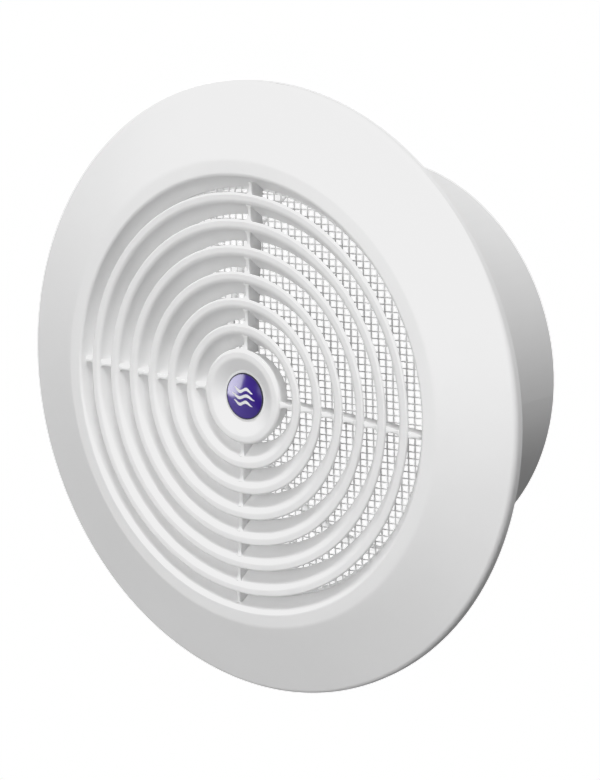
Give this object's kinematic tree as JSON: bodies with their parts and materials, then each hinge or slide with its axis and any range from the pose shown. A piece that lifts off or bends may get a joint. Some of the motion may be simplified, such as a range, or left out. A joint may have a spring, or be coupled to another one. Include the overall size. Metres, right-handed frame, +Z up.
{
  "type": "round ventilation grille with duct collar",
  "caption": "Round white bathroom extract grille: conical flange, concentric louvre rings on crossed spokes, domed hub badge, insect net, and a plain collar that pushes into a round duct.",
  "frame": {"origin": "on the duct's axis, in the plane of the wall that the flange rests on", "axes": "+Y along the duct into the wall, away from the room; +Z up; +X to the right of someone facing the grille"},
  "size_m": [0.18, 0.069, 0.18],
  "materials": {
    "white_plastic": "satin moulded white",
    "collar_plastic": "satin moulded white",
    "net_plastic": "matt extruded netting",
    "badge_print": "gloss indigo print",
    "clear_resin": "clear domed resin"
  },
  "bodies": {
    "collar": {"duct_collar": "collar_plastic"},
    "front": {"flange_bezel": "white_plastic", "opening_lip": "white_plastic", "flange_ribs": "white_plastic", "louvre_ring_1": "white_plastic", "louvre_ring_2": "white_plastic", "louvre_ring_3": "white_plastic", "louvre_ring_4": "white_plastic", "louvre_ring_5": "white_plastic", "louvre_ring_6": "white_plastic", "spoke_top": "white_plastic", "spoke_bottom": "white_plastic", "spoke_left": "white_plastic", "spoke_right": "white_plastic", "hub_boss": "white_plastic", "plug_neck": "white_plastic", "badge_plate": "badge_print", "badge_dome": "clear_resin", "net_upright_strands": "net_plastic", "net_level_strands": "net_plastic"}
  },
  "joints": [
    {"name": "front_pull_off", "type": "slide", "parent": "collar", "child": "front", "axis": [0, -1, 0], "range_m": [0, 0.03]}
  ]
}
